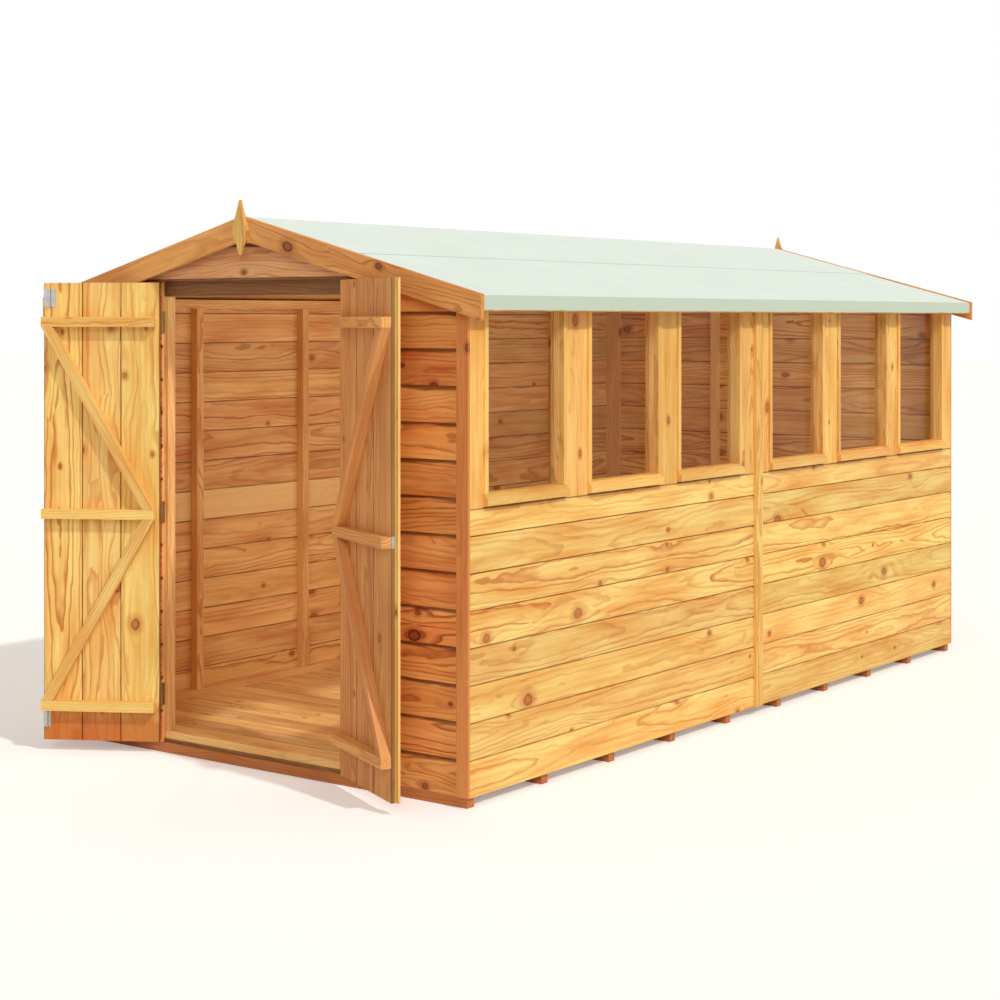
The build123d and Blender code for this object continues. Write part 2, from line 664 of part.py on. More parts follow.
os.makedirs("parts", exist_ok=True)
build_floor()
build_gable_walls()
build_side_walls()
build_trims()
build_side_frames()
build_front_frame()
build_back_frame()
build_windows()
build_roof_covering()
build_roof_timber()
build_verges()
build_doors()
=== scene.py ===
import bmesh
import bpy
import math
import random
from mathutils import Matrix, Vector, noise


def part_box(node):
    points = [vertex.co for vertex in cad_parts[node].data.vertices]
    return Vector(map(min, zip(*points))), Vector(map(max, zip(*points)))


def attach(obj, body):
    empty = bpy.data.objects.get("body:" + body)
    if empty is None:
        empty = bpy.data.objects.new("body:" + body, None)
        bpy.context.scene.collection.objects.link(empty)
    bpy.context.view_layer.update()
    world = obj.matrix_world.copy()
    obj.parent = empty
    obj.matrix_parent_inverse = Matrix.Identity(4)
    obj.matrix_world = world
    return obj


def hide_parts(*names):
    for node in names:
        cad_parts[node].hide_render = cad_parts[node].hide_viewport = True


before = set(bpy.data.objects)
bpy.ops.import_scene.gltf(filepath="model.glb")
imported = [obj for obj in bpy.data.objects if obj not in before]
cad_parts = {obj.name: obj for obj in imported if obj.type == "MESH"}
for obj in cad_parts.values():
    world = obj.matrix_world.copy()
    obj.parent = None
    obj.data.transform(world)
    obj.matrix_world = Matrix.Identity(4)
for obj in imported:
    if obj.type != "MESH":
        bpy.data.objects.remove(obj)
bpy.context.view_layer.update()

# Board sizes, in metres, as in the CAD source
BOARD_COVER = 0.114
COVE_DEPTH = 0.005
COVE_HEIGHT = 0.011
CLAD_T = 0.012
FLOOR_BOARD = 0.096
ROOF_BOARD = 0.118
ROOF_PITCH = math.radians(15.0)
EAVES_FOLD = 0.9803  # from the ridge sideways to the felt's fold
FELT_LAP = 0.4782  # from the ridge sideways to the lap of two sheets
LIP_STRETCH = 0.07  # length of one stretch of an uneven lip
FRONT_WAVE, GABLE_WAVE = 0.0035, 0.002  # how uneven the lips are
ARRIS, LIP_ARRIS = 0.0012, 0.0009  # how far edges are rounded
LEFT_OPEN, RIGHT_OPEN = 150.0, 153.0  # the leaves' angles at rest, in degrees

UP = Vector((0.0, 0.0, 1.0))
EAST, WEST = Vector((1.0, 0.0, 0.0)), Vector((-1.0, 0.0, 0.0))
SOUTH, NORTH = Vector((0.0, -1.0, 0.0)), Vector((0.0, 1.0, 0.0))

# Light and view
WHITE = (1.0, 1.0, 1.0, 1.0)
WARM = (1.0, 0.91, 0.82, 1.0)
SKY_LEVEL, SKY_RISE = 0.23, 0.37
INSIDE_POWER, INSIDE_SIZE, INSIDE_PLACE = 13.0, (3.0, 0.6), (0.80, 1.72, 1.15)
FLOOR_REACH, FLOOR_DROP = 60.0, 0.001
LENS, SHIFT, CAMERA_TURN = 70.583, (0.0009, -0.1811), 36.5331
CAMERA_PLACE = (4.5371, -4.7568, 1.4921)

# Knots: cells a metre along and across the grain, and the smallest radius with what may be added to it
KNOT_CELLS = (2.5, 9.0)
KNOT_RADIUS, KNOT_GROWTH = 0.005, 0.013
ROUGHNESS = 0.5


# Meshes of joined boards. Each board carries its own grain coordinates and tone.
class Boards:
    """Collects boards and turns them into one mesh."""

    def __init__(self, name, seed):
        self.name = name
        self.rng = random.Random(seed)
        self.verts, self.faces, self.grain, self.tone, self.edge = [], [], [], [], []

    def add(self, bm, axes, bevel=ARRIS, pale=0.0):
        """Adds one board. axes are its directions along the grain, across it and through it."""
        along, across, through = axes
        if bevel:
            soften(bm, bevel)
        bmesh.ops.triangulate(bm, faces=[f for f in bm.faces if len(f.verts) > 4])
        first = len(self.verts)
        centre = sum((v.co for v in bm.verts), Vector()) / len(bm.verts)
        shift = self.rng.uniform(-40.0, 40.0)
        pith = (self.rng.uniform(-0.05, 0.05), self.rng.choice((-1, 1)) * self.rng.uniform(0.02, 0.07))
        tone, chance = self.rng.random(), self.rng.random()
        places = [(v.co - centre).dot(across) for v in bm.verts]
        low, high = min(places), max(places)
        for index, vert in enumerate(bm.verts):
            vert.index = index
            q = vert.co - centre
            self.verts.append(vert.co.copy())
            self.grain.append((q.dot(along) + shift, q.dot(across) + pith[0], q.dot(through) + pith[1]))
            # pale above 0 marks lighter timber; below 0 it paints shade on the board
            self.tone.append((tone, chance, pale))
            self.edge.append((high - places[index], places[index] - low, q.dot(through)))
        for face in bm.faces:
            self.faces.append([first + v.index for v in face.verts])
        bm.free()

    def build(self, body, material, nodes):
        """Makes the object, parents it to its body and hides the CAD nodes that it stands for."""
        mesh = bpy.data.meshes.new(self.name)
        mesh.from_pydata(self.verts, [], self.faces)
        mesh.validate()
        write_vector(mesh, "grain", self.grain)
        write_vector(mesh, "board", self.tone)
        write_vector(mesh, "edge", self.edge)
        obj = bpy.data.objects.new(self.name, mesh)
        bpy.context.scene.collection.objects.link(obj)
        mesh.materials.append(material)
        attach(obj, body)
        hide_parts(*nodes)
        return obj


def write_vector(mesh, name, values):
    """Stores one vector a vertex."""
    layer = mesh.attributes.new(name, "FLOAT_VECTOR", "POINT")
    layer.data.foreach_set("vector", [number for value in values for number in value])


def soften(bm, width):
    """Rounds the sharp edges of a board."""
    sharp = [e for e in bm.edges if len(e.link_faces) == 2 and e.calc_face_angle(0.0) > math.radians(35.0)]
    bmesh.ops.bevel(bm, geom=sharp, offset=width, offset_type="OFFSET", segments=2, profile=0.7,
                    affect="EDGES", clamp_overlap=True)


def clip(bm, point, normal):
    """Cuts away what lies beyond a plane and closes the cut."""
    geom = bm.verts[:] + bm.edges[:] + bm.faces[:]
    cut = bmesh.ops.bisect_plane(bm, geom=geom, dist=1e-6, plane_co=point, plane_no=normal,
                                 clear_outer=True)
    edges = [g for g in cut["geom_cut"] if isinstance(g, bmesh.types.BMEdge)]
    open_edges = [e for e in edges if e.is_valid and len(e.link_faces) == 1]
    if open_edges:
        bmesh.ops.holes_fill(bm, edges=open_edges, sides=0)


def islands(node):
    """The separate solids of a CAD node, with flat faces merged."""
    whole = bmesh.new()
    whole.from_mesh(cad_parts[node].data)
    bmesh.ops.remove_doubles(whole, verts=whole.verts, dist=1e-5)
    bmesh.ops.dissolve_limit(whole, angle_limit=math.radians(1.0), verts=whole.verts, edges=whole.edges)
    seen, pieces = set(), []
    for start in whole.verts:
        if start in seen:
            continue
        stack, found = [start], set()
        while stack:
            vert = stack.pop()
            if vert in found:
                continue
            found.add(vert)
            stack.extend(e.other_vert(vert) for e in vert.link_edges)
        seen |= found
        piece = bmesh.new()
        copies = {vert: piece.verts.new(vert.co) for vert in found}
        for face in {f for vert in found for f in vert.link_faces}:
            piece.faces.new([copies[v] for v in face.verts])
        bmesh.ops.recalc_face_normals(piece, faces=piece.faces)
        pieces.append(piece)
    whole.free()
    return sorted(pieces, key=lambda p: tuple(round(c, 3) for c in min((v.co[:] for v in p.verts))))


def own_axes(bm, along=None):
    """Grain direction, width direction and thickness direction of a board."""
    if along is None:
        longest = max(bm.edges, key=lambda e: e.calc_length())
        along = (longest.verts[1].co - longest.verts[0].co).normalized()
    spans = []
    for face in bm.faces:
        if abs(face.normal.dot(along)) < 0.2:
            spans.append((face.calc_area(), face.normal.copy()))
    through = max(spans, key=lambda s: s[0])[1]
    through = (through - along * through.dot(along)).normalized()
    return along, through.cross(along).normalized(), through


def sawn(bm, axes, widths):
    """Cuts a solid into boards along its grain. widths is a board width, or a number of boards."""
    across = axes[1]
    places = [v.co.dot(across) for v in bm.verts]
    low, high = min(places), max(places)
    count = widths if isinstance(widths, int) else max(1, round((high - low) / widths))
    step = (high - low) / count
    for index in range(count):
        board = bm.copy()
        if index > 0:
            clip(board, across * (low + index * step), -across)
        if index < count - 1:
            clip(board, across * (low + (index + 1) * step), across)
        yield board
    bm.free()


def timber(name, nodes, body, material, seed, along=None, widths=None, bevel=ARRIS, out=None,
           painted_shade_above=None):
    """Replaces CAD nodes of plain boards by softened boards with their own grain.

    out is the direction of the outer face; pieces above the height painted_shade_above get painted shade,
    darkened as if in deep shade.
    """
    boards = Boards(name, seed)
    for node in nodes:
        for solid in islands(node):
            axes = own_axes(solid, along)
            if out is not None and axes[2].dot(out) < 0:
                axes = (axes[0], -axes[1], -axes[2])
            # Pieces above painted_shade_above get a negative pale, which paints shade on them
            in_painted_shade = painted_shade_above is not None and min(v.co.z for v in solid.verts) > painted_shade_above
            for board in sawn(solid, axes, widths) if widths else [solid]:
                boards.add(board, axes, bevel, pale=-1.0 if in_painted_shade else 0.0)
    return boards.build(body, material, nodes)


# Shiplap walls
def cove_profile(flare):
    """A board's section, up its face from the lip and down its back, as (depth, height)."""
    start = BOARD_COVER - COVE_HEIGHT
    points = [(0.0, 0.0), (0.0, start * 0.5), (0.0, start - flare)]
    for step in range(1, 5):
        angle = step / 4 * math.pi / 2
        points.append((COVE_DEPTH * math.sin(angle), BOARD_COVER - (COVE_HEIGHT + flare) * math.cos(angle)))
    points.append((CLAD_T, BOARD_COVER))
    points.append((CLAD_T, BOARD_COVER * 0.5))
    points.append((CLAD_T, 0.0))
    return points


def shiplap_board(corner, run_dir, out_dir, run, z0, wave, key):
    """One board with a gently uneven lip and cove."""
    count = max(2, round(run / LIP_STRETCH))
    bm = bmesh.new()
    rings = []
    for index in range(count + 1):
        place = run * index / count
        flare = wave * (noise.noise(Vector((place * 9.0, key, 0.0))) + 0.2)
        dip = 0.35 * wave * noise.noise(Vector((place * 7.0, key, 5.0)))
        ring = []
        for point, (depth, height) in enumerate(cove_profile(max(0.0, flare))):
            lift = dip if point == 0 else 0.0
            co = corner + run_dir * place - out_dir * depth + UP * (z0 + height + max(0.0, lift))
            ring.append(bm.verts.new(co))
        rings.append(ring)
    size = len(rings[0])
    for one, two in zip(rings, rings[1:]):
        for point in range(size):
            after = (point + 1) % size
            bm.faces.new((one[point], one[after], two[after], two[point]))
    bm.faces.new(rings[0])
    bm.faces.new(rings[-1])
    bmesh.ops.recalc_face_normals(bm, faces=bm.faces)
    return bm


def shiplap_wall(name, node, out_dir, material, seed, planes=(), wave=0.0, pale=()):
    """All boards of one wall panel, cut to the panel's outline. pale lists boards of lighter timber."""
    low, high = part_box(node)
    side_wall = abs(out_dir.x) > 0.5
    run_dir = NORTH if side_wall else EAST
    face = high if out_dir.x + out_dir.y > 0 else low
    corner = Vector((face.x, low.y, 0.0)) if side_wall else Vector((low.x, face.y, 0.0))
    run = (high - low).dot(run_dir)
    boards = Boards(name, seed)
    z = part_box("right_wall_front")[0].z
    index = 0
    while z < high.z:
        if z + BOARD_COVER > low.z:
            bm = shiplap_board(corner, run_dir, out_dir, run, z, wave, seed * 3.7 + index)
            soften_ends(bm)
            clip(bm, Vector((0.0, 0.0, high.z)), UP)
            if z < low.z - 1e-6:
                clip(bm, Vector((0.0, 0.0, low.z)), -UP)
            for point, normal in planes:
                clip(bm, point, normal)
            if len(bm.faces) > 3:
                boards.add(bm, (run_dir, UP.copy(), out_dir), bevel=0.0, pale=1.0 if index in pale else 0.0)
            else:
                bm.free()
        z += BOARD_COVER
        index += 1
    return boards.build("root", material, [node])


def soften_ends(bm):
    """Rounds the square edges of a shiplap board and leaves its cove as it is."""
    sharp = [e for e in bm.edges if len(e.link_faces) == 2 and e.calc_face_angle(0.0) > math.radians(60.0)]
    bmesh.ops.bevel(bm, geom=sharp, offset=LIP_ARRIS, offset_type="OFFSET", segments=2, profile=0.6,
                    affect="EDGES", clamp_overlap=True)


# Node trees
class Tree:
    """Short calls for building the nodes of a material or a world."""

    def __init__(self, owner):
        self.owner = owner
        owner.use_nodes = True
        self.tree = owner.node_tree
        self.tree.nodes.clear()

    def node(self, kind, **inputs):
        made = self.tree.nodes.new(kind)
        for key, value in inputs.items():
            self.plug(made, key.replace("_", " "), value)
        return made

    def plug(self, node, key, value):
        socket = node.inputs[key]
        if isinstance(value, bpy.types.NodeSocket):
            self.tree.links.new(value, socket)
        else:
            socket.default_value = value

    def math(self, operation, *values, clamp=False):
        made = self.tree.nodes.new("ShaderNodeMath")
        made.operation = operation
        made.use_clamp = clamp
        for index, value in enumerate(values):
            self.plug(made, index, value)
        return made.outputs[0]

    def vector(self, operation, *values):
        made = self.tree.nodes.new("ShaderNodeVectorMath")
        made.operation = operation
        for index, value in enumerate(values):
            self.plug(made, index, value)
        return made.outputs["Vector"]

    def mix(self, factor, one, two):
        made = self.tree.nodes.new("ShaderNodeMix")
        made.data_type = "RGBA"
        self.plug(made, 0, factor)
        self.plug(made, 6, one)
        self.plug(made, 7, two)
        return made.outputs[2]

    def noise(self, vector, scale=1.0, detail=2.0, flat=False):
        made = self.node("ShaderNodeTexNoise", Vector=vector, Scale=scale, Detail=detail)
        made.noise_dimensions = "2D" if flat else "3D"
        return made.outputs["Fac"]

    def flat_noise(self, u, v, scale_u, scale_v, detail=1.0):
        """Noise over a board's face, with its own scale along and across the grain."""
        place = self.join(self.math("MULTIPLY", u, scale_u), self.math("MULTIPLY", v, scale_v), 0.0)
        return self.noise(place, 1.0, detail, flat=True)

    def step(self, value, low, high):
        made = self.tree.nodes.new("ShaderNodeMapRange")
        made.interpolation_type = "SMOOTHSTEP"
        for index, number in enumerate((value, low, high, 0.0, 1.0)):
            self.plug(made, index, number)
        return made.outputs[0]

    def attribute(self, name):
        made = self.tree.nodes.new("ShaderNodeAttribute")
        made.attribute_name = name
        return made.outputs["Vector"]

    def split(self, vector):
        made = self.node("ShaderNodeSeparateXYZ", Vector=vector)
        return made.outputs[0], made.outputs[1], made.outputs[2]

    def join(self, x, y, z):
        return self.node("ShaderNodeCombineXYZ", X=x, Y=y, Z=z).outputs[0]

    def seen(self):
        """1 for rays that show the background or the floor, straight, in gloss or through glass."""
        path = self.tree.nodes.new("ShaderNodeLightPath")
        both = self.math("ADD", path.outputs["Is Camera Ray"], path.outputs["Is Glossy Ray"], clamp=True)
        return self.math("ADD", both, path.outputs["Is Transmission Ray"], clamp=True)

    def finish(self, shader, output="ShaderNodeOutputMaterial"):
        out = self.tree.nodes.new(output)
        self.tree.links.new(shader, out.inputs["Surface"])
        return self.owner


def linear(channel):
    """One channel of a colour as it shows, turned to a linear value."""
    return ((channel + 0.055) / 1.055) ** 2.4 if channel > 0.04045 else channel / 12.92


def srgb(red, green, blue):
    """A colour written as it shows, turned to linear values."""
    return (linear(red), linear(green), linear(blue), 1.0)


def shades(light, dark, line, knot):
    """The four tones of a timber."""
    return tuple(srgb(*tone) for tone in (light, dark, line, knot))


def find_knots(t, u, v, chance, share):
    """One possible knot in each cell of a stretched grid.

    Gives the offsets from its centre, its radius and whether it is there.
    """
    cell_u, cell_v = KNOT_CELLS
    cells = t.tree.nodes.new("ShaderNodeTexVoronoi")
    cells.voronoi_dimensions = "2D"
    cells.inputs["Randomness"].default_value = 0.8
    cells.inputs["Scale"].default_value = 1.0
    wide_u = t.math("MULTIPLY_ADD", chance, 57.0, t.math("MULTIPLY", u, cell_u))
    wide_v = t.math("MULTIPLY", v, cell_v)
    t.plug(cells, "Vector", t.join(wide_u, wide_v, 0.0))
    spot_u, spot_v, _ = t.split(cells.outputs["Position"])
    du = t.math("DIVIDE", t.math("SUBTRACT", wide_u, spot_u), cell_u)
    dv = t.math("DIVIDE", t.math("SUBTRACT", wide_v, spot_v), cell_v)
    red, green, _ = t.split(cells.outputs["Color"])
    size = t.math("MULTIPLY_ADD", t.math("POWER", green, 2.0), KNOT_GROWTH, KNOT_RADIUS)
    return du, dv, size, t.math("LESS_THAN", red, share)


def length_of(t, du, dv, squeeze):
    """Distance from a knot's centre, measured shorter along the grain."""
    along = t.math("POWER", t.math("MULTIPLY", du, squeeze), 2.0)
    return t.math("SQRT", t.math("ADD", along, t.math("POWER", dv, 2.0)))


def wood(name, tones, knots=0.42, ring=0.014, figure=0.75, seam=0.0, both_seams=False, inner=None,
         inner_side=0.0, foot_darkening=0.0, cut_ends=False, bend=0.085):
    """Softwood: rings that flow round knots, streaks, painted shade in the joints and a tone for each board.

    knots is the share of cells that hold one, ring the rings' spacing, figure their strength and bend how
    far they wander. seam is the width of a band of painted shade in a joint, above the board or on both
    sides. inner holds the painted-shade tones of the face that lies further in than inner_side, damp sets
    how much the foot of a leaf's inner face is darkened towards the bottom, and cut_ends leaves the figure
    off the ends.
    """
    t = Tree(bpy.data.materials.new(name))
    u, v, w = t.split(t.attribute("grain"))
    tone, chance, pale = t.split(t.attribute("board"))
    to_top, to_bottom, outward = t.split(t.attribute("edge"))
    depth = t.math("MULTIPLY_ADD", w, 0.8, v)
    du, dv, size, active = find_knots(t, u, v, chance, knots)

    # Rings bend round a knot and wander along the board
    reach = t.math("MULTIPLY_ADD", size, 2.6, 0.008)
    away = length_of(t, du, dv, 0.28)
    fall = t.math("POWER", t.math("DIVIDE", away, reach), 2.0)
    fall = t.math("MULTIPLY", t.math("EXPONENT", t.math("MULTIPLY", fall, -1.0)), active)
    wander = t.math("SUBTRACT", t.flat_noise(u, v, 1.1, 5.5, 0.5), 0.5)
    ripple = t.math("SUBTRACT", t.flat_noise(u, v, 10.0, 34.0, 1.0), 0.5)
    bent = t.math("SUBTRACT", v, t.math("MULTIPLY", t.math("MULTIPLY", dv, 0.95), fall))
    radius = t.math("SQRT", t.math("ADD", t.math("POWER", bent, 2.0), t.math("POWER", w, 2.0)))
    radius = t.math("MULTIPLY_ADD", wander, bend, t.math("MULTIPLY_ADD", ripple, 0.010, radius))
    radius = t.math("MULTIPLY_ADD", t.math("MULTIPLY", away, fall), 0.8, radius)
    phase = t.math("DIVIDE", radius, ring)
    part = t.math("FRACT", phase)
    line = t.math("MULTIPLY", t.step(part, 0.45, 0.9), t.math("SUBTRACT", 1.0, t.step(part, 0.93, 1.0)))
    which = t.tree.nodes.new("ShaderNodeTexWhiteNoise")
    which.noise_dimensions = "2D"
    t.plug(which, "Vector", t.join(t.math("FLOOR", phase), chance, 0.0))
    line = t.math("MULTIPLY", line, t.math("MULTIPLY_ADD", which.outputs["Value"], 0.9, 0.1))
    own_figure = t.math("MULTIPLY_ADD", t.math("FRACT", t.math("MULTIPLY", chance, 13.7)), 0.9, 0.4)

    # Fibres, streaks and blotches
    fibre = t.flat_noise(u, depth, 16.0, 480.0, 0.0)
    streak = t.math("SUBTRACT", t.flat_noise(u, depth, 2.4, 70.0, 1.0), 0.5)
    blotch = t.math("SUBTRACT", t.flat_noise(u, v, 2.6, 12.0, 1.0), 0.5)
    amount = t.math("MULTIPLY_ADD", streak, 0.9, 0.4)
    amount = t.math("MULTIPLY_ADD", t.math("SUBTRACT", fibre, 0.5), 0.35, amount)
    amount = t.math("MULTIPLY_ADD", blotch, 1.5, amount)
    light, dark, stripe, knot = tones
    # Painted shade: faces further in than inner_side take the inner tones, a browner copy of the timber
    if inner:
        inside = t.math("LESS_THAN", outward, inner_side)
        light, dark, stripe = (t.mix(inside, one, two) for one, two in zip((light, dark, stripe), inner))
    colour = t.mix(t.math("ADD", amount, 0.0, clamp=True), light, dark)
    drawn = t.math("MULTIPLY", t.math("MULTIPLY", line, own_figure), figure, clamp=True)
    colour = t.mix(drawn, colour, stripe)

    # Knots with a dark rim and fine rings, in a stained halo
    ratio = t.math("DIVIDE", t.math("MULTIPLY_ADD", ripple, 0.009, length_of(t, du, dv, 0.75)), size)
    body = t.math("MULTIPLY", t.math("SUBTRACT", 1.0, t.step(ratio, 0.8, 1.2)), active)
    halo = t.math("MULTIPLY", t.math("SUBTRACT", 1.0, t.step(ratio, 1.0, 2.8)), active)
    rings = t.math("MULTIPLY_ADD", t.math("SINE", t.math("MULTIPLY", ratio, 17.0)), 0.5, 0.5)
    rim = t.math("MULTIPLY", t.step(ratio, 0.5, 1.0), body)
    rim = t.math("MULTIPLY", rim, t.math("MULTIPLY_ADD", blotch, 2.0, 0.75), clamp=True)
    colour = t.mix(t.math("MULTIPLY", halo, 0.5), colour, stripe)
    colour = t.mix(t.math("MULTIPLY", body, t.math("MULTIPLY_ADD", rings, 0.45, 0.4)), colour, knot)
    deep = tuple(c * 0.4 for c in knot[:3]) + (1.0,)
    colour = t.mix(rim, colour, deep)
    lighter = t.math("MULTIPLY", t.math("MAXIMUM", pale, 0.0), 0.7)
    colour = t.mix(t.math("MULTIPLY", lighter, inside) if inner else lighter, colour, PALE)
    # A negative pale paints shade: the board is darkened towards the dark shade brown
    darker = t.math("MAXIMUM", t.math("MULTIPLY", pale, -1.0), 0.0)
    colour = t.mix(t.math("MULTIPLY", darker, 0.78), colour, PAINTED_SHADE_BROWN)
    # The foot of a leaf's inner face is darker towards the bottom
    if foot_darkening:
        height = t.split(t.tree.nodes.new("ShaderNodeTexCoord").outputs["Object"])[2]
        low = t.math("SUBTRACT", 1.0, t.step(t.math("MULTIPLY_ADD", ripple, 0.05, height), 0.10, 0.19))
        low = t.math("MULTIPLY", low, t.math("LESS_THAN", outward, 0.0))
        colour = t.mix(t.math("MULTIPLY", low, foot_darkening), colour, stripe)

    # Worn arrises on boards without a seam. Where there is a seam, painted shade in the joints: a wavy
    # shadow under each shiplap lip, and with both_seams a dark band along both edges of a board
    nearest = t.math("MINIMUM", to_top, to_bottom)
    at_edge = t.math("SUBTRACT", 1.0, t.step(nearest, 0.0004, 0.0028))
    wear = t.math("MULTIPLY", at_edge, t.math("ADD", streak, 0.6))
    if seam:
        uneven = t.math("MULTIPLY_ADD", ripple, seam * 0.7, nearest if both_seams else to_top)
        shade = t.math("SUBTRACT", 1.0, t.step(uneven, seam * 0.4, seam))
        colour = t.mix(t.math("MULTIPLY", shade, 0.74), colour, PAINTED_SHADE_BROWN)
    else:
        colour = t.mix(t.math("MULTIPLY", wear, 0.5), colour, light)

    if cut_ends:
        normal = t.tree.nodes.new("ShaderNodeNewGeometry").outputs["Normal"]
        facing = t.math("GREATER_THAN", t.math("ABSOLUTE", t.split(normal)[0]), 0.8)
        colour = t.mix(t.math("MULTIPLY", facing, 0.9), colour, t.mix(fibre, light, dark))

    # Each board is a little lighter or darker, redder or yellower
    hue = t.node("ShaderNodeHueSaturation", Color=colour, Value=t.math("MULTIPLY_ADD", tone, 0.2, 0.9))
    t.plug(hue, "Hue", t.math("MULTIPLY_ADD", chance, 0.009, 0.4905))

    shader = t.tree.nodes.new("ShaderNodeBsdfPrincipled")
    t.plug(shader, "Base Color", hue.outputs[0])
    t.plug(shader, "Roughness", t.math("MULTIPLY_ADD", fibre, 0.18, ROUGHNESS))
    shader.inputs["Specular IOR Level"].default_value = 0.3
    bump = t.node("ShaderNodeBump", Strength=0.3, Distance=0.0006, Height=fibre)
    t.plug(shader, "Normal", bump.outputs[0])
    return t.finish(shader.outputs[0])


def felt(name):
    """Pale mineral felt: grit, faint mottling, a darker fold at the eaves and a line of painted shade at the
    lap.
    """
    t = Tree(bpy.data.materials.new(name))
    coords = t.tree.nodes.new("ShaderNodeTexCoord").outputs["Object"]
    side = t.math("ABSOLUTE", t.split(coords)[0])
    grit = t.noise(coords, 700.0, 1.0)
    mottle = t.noise(coords, 5.0, 2.0)
    colour = t.mix(mottle, srgb(0.873, 0.928, 0.905), srgb(0.912, 0.958, 0.94))
    colour = t.mix(t.math("MULTIPLY", t.step(grit, 0.45, 0.75), 0.4), colour, srgb(0.78, 0.84, 0.80))
    # Painted shade: a thin dark line where the ridge sheet's edge steps onto the side sheet
    from_lap = t.math("ABSOLUTE", t.math("SUBTRACT", side, FELT_LAP))
    lap = t.math("SUBTRACT", 1.0, t.step(from_lap, 0.0008, 0.0022))
    colour = t.mix(t.math("MULTIPLY", lap, 0.5), colour, srgb(0.62, 0.68, 0.66))
    colour = t.mix(t.step(side, EAVES_FOLD - 0.0004, EAVES_FOLD), colour, srgb(0.775, 0.83, 0.76))
    shader = t.tree.nodes.new("ShaderNodeBsdfPrincipled")
    t.plug(shader, "Base Color", colour)
    shader.inputs["Roughness"].default_value = 0.9
    shader.inputs["Specular IOR Level"].default_value = 0.2
    bump = t.node("ShaderNodeBump", Strength=0.4, Distance=0.0008, Height=grit)
    t.plug(shader, "Normal", bump.outputs[0])
    return t.finish(shader.outputs[0])


def glass(name):
    """A clear pane with faint dust; its gloss is the same from both sides."""
    t = Tree(bpy.data.materials.new(name))
    coords = t.tree.nodes.new("ShaderNodeTexCoord").outputs["Object"]
    dust = t.noise(coords, 4.0, 2.0)
    clear = t.tree.nodes.new("ShaderNodeBsdfTransparent")
    t.plug(clear, "Color", t.mix(dust, (0.86, 0.88, 0.87, 1.0), (0.93, 0.94, 0.93, 1.0)))
    gloss = t.tree.nodes.new("ShaderNodeBsdfGlossy")
    gloss.inputs["Roughness"].default_value = 0.04
    facing = t.tree.nodes.new("ShaderNodeLayerWeight").outputs["Facing"]
    edge = t.math("MULTIPLY_ADD", t.math("POWER", facing, 5.0), 0.35, 0.004)
    blend = t.tree.nodes.new("ShaderNodeMixShader")
    t.plug(blend, 0, edge)
    t.plug(blend, 1, clear.outputs[0])
    t.plug(blend, 2, gloss.outputs[0])
    return t.finish(blend.outputs[0])


def plated(name, dull, bright, metallic=0.9):
    """Plated steel with fine brushing and dull patches."""
    t = Tree(bpy.data.materials.new(name))
    coords = t.tree.nodes.new("ShaderNodeTexCoord").outputs["Object"]
    patch = t.noise(coords, 60.0, 2.0)
    brush = t.noise(t.vector("MULTIPLY", coords, (900.0, 900.0, 60.0)), 1.0, 1.0)
    shader = t.tree.nodes.new("ShaderNodeBsdfPrincipled")
    t.plug(shader, "Base Color", t.mix(patch, dull, bright))
    shader.inputs["Metallic"].default_value = metallic
    t.plug(shader, "Roughness", t.math("MULTIPLY_ADD", brush, 0.25, 0.3))
    bump = t.node("ShaderNodeBump", Strength=0.25, Distance=0.0003, Height=brush)
    t.plug(shader, "Normal", bump.outputs[0])
    return t.finish(shader.outputs[0])


# Timbers: light, dark, grain line and knot
KNOT = (0.70, 0.37, 0.13)
BROWN_KNOT = (0.47, 0.20, 0.07)
HONEY = shades((0.96, 0.845, 0.495), (0.885, 0.64, 0.28), (0.74, 0.395, 0.125), KNOT)
TRIM = shades((0.95, 0.80, 0.455), (0.875, 0.615, 0.275), (0.72, 0.40, 0.14), KNOT)
# Front-facing timbers: orange copies of the honey timber. Their lightness is the timber's, their warmer hue
# is painted warm shade for faces turned from the key
AMBER = shades((0.985, 0.725, 0.41), (0.875, 0.515, 0.24), (0.58, 0.265, 0.105), BROWN_KNOT)
CORNER = shades((0.88, 0.595, 0.33), (0.79, 0.47, 0.23), (0.62, 0.30, 0.12), BROWN_KNOT)
GABLE = shades((0.90, 0.70, 0.475), (0.807, 0.565, 0.345), (0.60, 0.36, 0.18), BROWN_KNOT)
TAN = shades((0.95, 0.70, 0.40), (0.85, 0.565, 0.295), (0.63, 0.345, 0.145), BROWN_KNOT)
BEARER = shades((0.80, 0.52, 0.29), (0.68, 0.40, 0.20), (0.5, 0.27, 0.12), BROWN_KNOT)
# Painted shade: an orange-brown copy of the honey timber for the right leaf's inner face and ledges, turned
# from the key
SHADED = shades((0.888, 0.655, 0.375), (0.78, 0.51, 0.262), (0.566, 0.315, 0.135), BROWN_KNOT)
# Painted shade of the inside: a browner copy of the honey timber for inner faces, framing and roof timbers
INSIDE_SHADE = shades((0.95, 0.785, 0.485), (0.84, 0.585, 0.31), (0.66, 0.40, 0.18), BROWN_KNOT)
FLOOR = shades((0.97, 0.83, 0.545), (0.86, 0.645, 0.368), (0.66, 0.41, 0.185), KNOT)
PALE = srgb(0.98, 0.85, 0.57)
# Dark brown of the painted shade in joints and on shaded boards
PAINTED_SHADE_BROWN = srgb(0.36, 0.16, 0.06)
# seam sets a band of painted shade in the joints, and inner sets painted-shade tones for inner faces
side_wood = wood("honey_shiplap", HONEY, knots=0.4, figure=0.85, seam=0.006, inner=INSIDE_SHADE)
